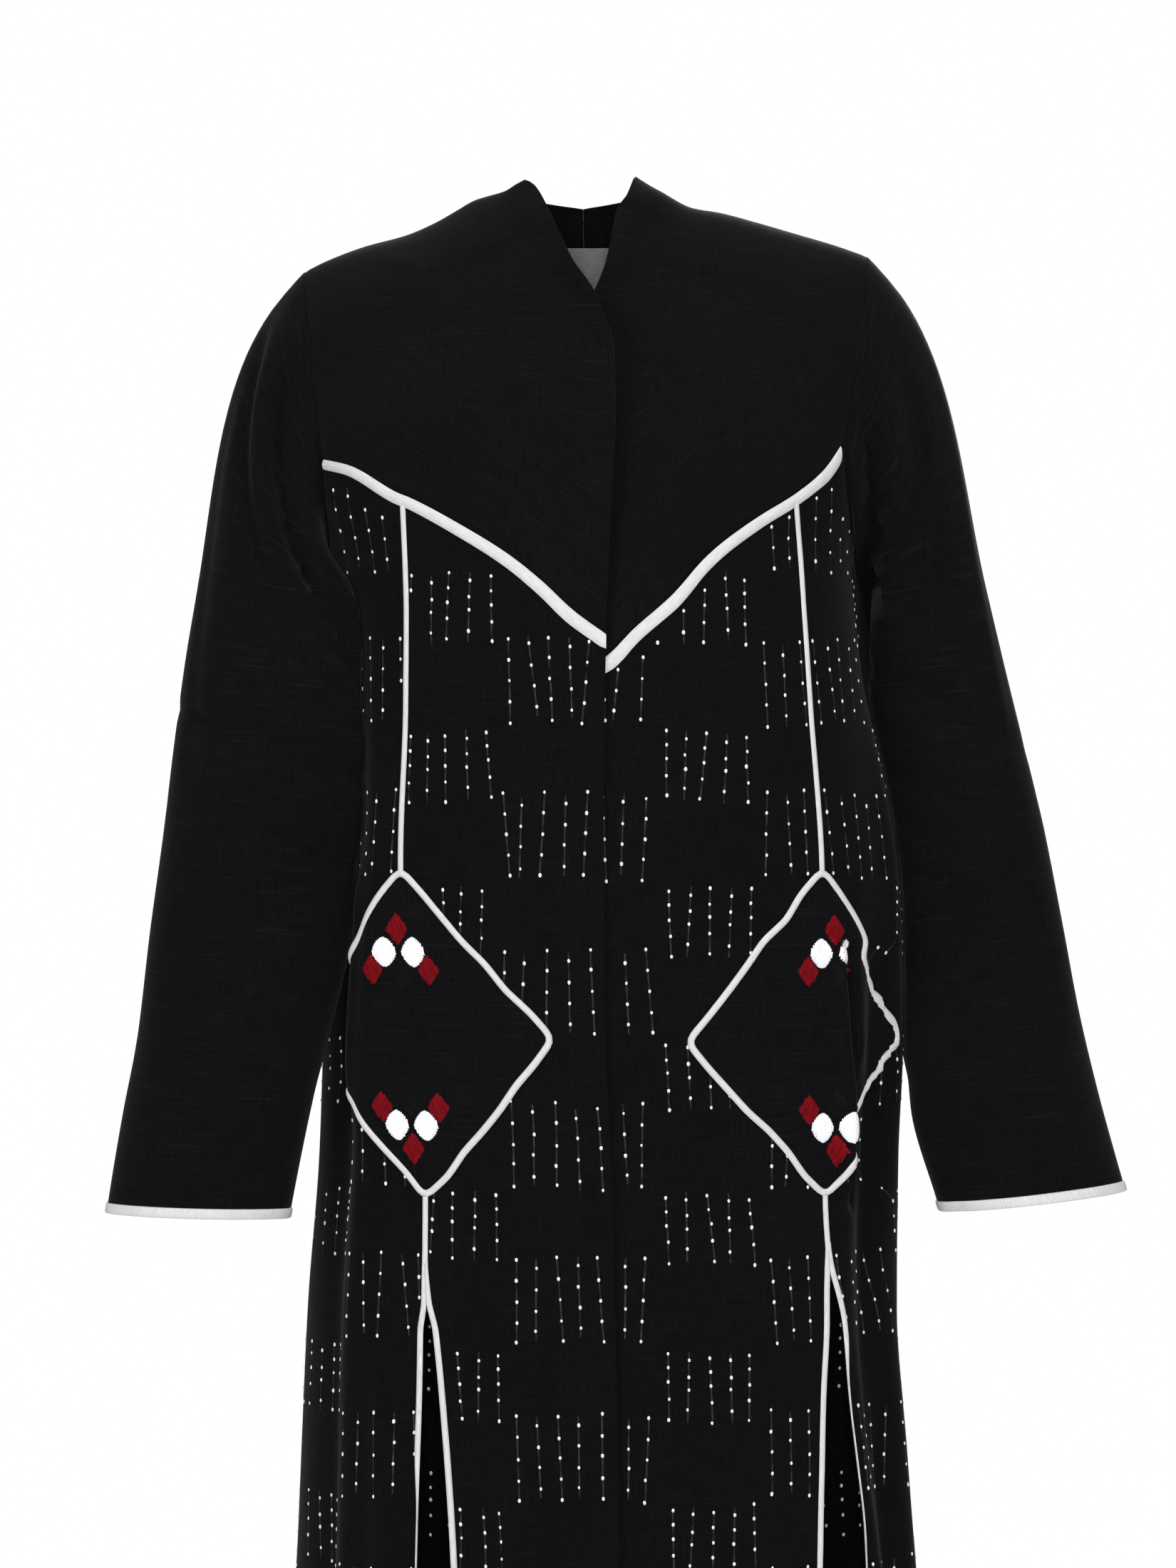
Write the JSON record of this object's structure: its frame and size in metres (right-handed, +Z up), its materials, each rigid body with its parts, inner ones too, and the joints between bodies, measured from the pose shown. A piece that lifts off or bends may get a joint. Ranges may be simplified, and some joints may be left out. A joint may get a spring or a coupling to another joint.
{
  "type": "abaya",
  "caption": "Worn open-front abaya with a funnel collar, plain yokes and sleeves, dotted panels, light bound seams, diamond pockets and front slits.",
  "frame": {"origin": "the middle of the neck opening, level with the tops of the shoulders", "axes": "+Z up the worn garment, -Y to the wearer's front, +X to the wearer's left"},
  "size_m": [0.6818, 0.3052, 1.3627],
  "materials": {
    "plain_black": "plain slubby weave, matt",
    "dotted_black": "plain weave with lines of light woven dots, matt",
    "white_binding": "bias binding, matt",
    "label": "woven label, bare"
  },
  "bodies": {
    "root": {"front_yoke_right": "plain_black", "front_yoke_left": "plain_black", "back_yoke_right": "plain_black", "back_yoke_left": "plain_black", "sleeve_right": "plain_black", "sleeve_left": "plain_black", "pocket_right": "plain_black", "pocket_left": "plain_black", "centre_front_right": "dotted_black", "centre_front_left": "dotted_black", "side_front_right": "dotted_black", "side_front_left": "dotted_black", "back": "dotted_black", "yoke_binding_right": "white_binding", "yoke_binding_left": "white_binding", "cuff_binding_right": "white_binding", "cuff_binding_left": "white_binding", "pocket_piping_right": "white_binding", "pocket_piping_left": "white_binding", "princess_piping_right": "white_binding", "princess_piping_left": "white_binding", "lower_piping_right": "white_binding", "lower_piping_left": "white_binding", "slit_binding_centre_right": "white_binding", "slit_binding_centre_left": "white_binding", "slit_binding_side_right": "white_binding", "slit_binding_side_left": "white_binding", "neck_label": "label"}
  },
  "joints": []
}
